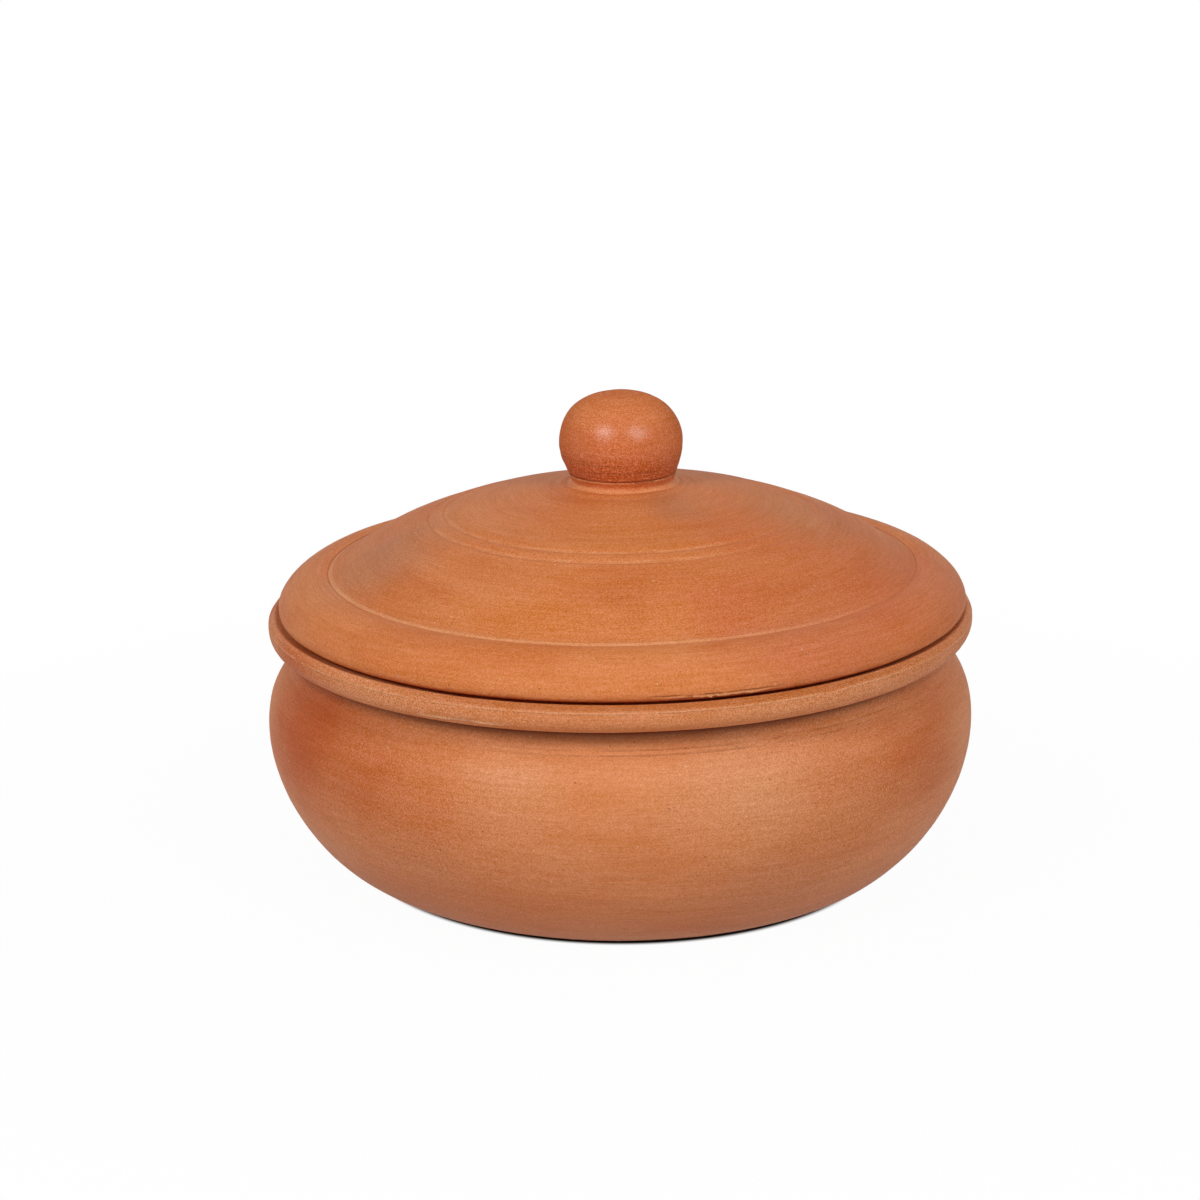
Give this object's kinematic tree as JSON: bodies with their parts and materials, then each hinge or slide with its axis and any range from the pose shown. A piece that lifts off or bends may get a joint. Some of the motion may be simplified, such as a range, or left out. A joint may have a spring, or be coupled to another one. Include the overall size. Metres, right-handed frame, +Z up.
{
  "type": "clay handi",
  "caption": "Squat earthenware cooking pot with a rolled lip and a flanged, domed lid that lifts off by a ball knob.",
  "frame": {"origin": "centre of the pot's flat foot, on the surface it stands on", "axes": "+Z up along the turning axis, +Y away from the picture's viewer, +X to the viewer's right"},
  "size_m": [0.23, 0.23, 0.1545],
  "materials": {
    "pot_clay": "unglazed, matt",
    "lid_clay": "unglazed, matt",
    "knob_clay": "unglazed, burnished by hand",
    "collar_clay": "unglazed, matt"
  },
  "bodies": {
    "pot": {"pot": "pot_clay"},
    "lid": {"lid": "lid_clay", "knob": "knob_clay", "knob_collar": "collar_clay"}
  },
  "joints": [
    {"name": "lid_lift", "type": "slide", "parent": "pot", "child": "lid", "axis": [0, 0, 1], "range_m": [0, 0.12]}
  ]
}
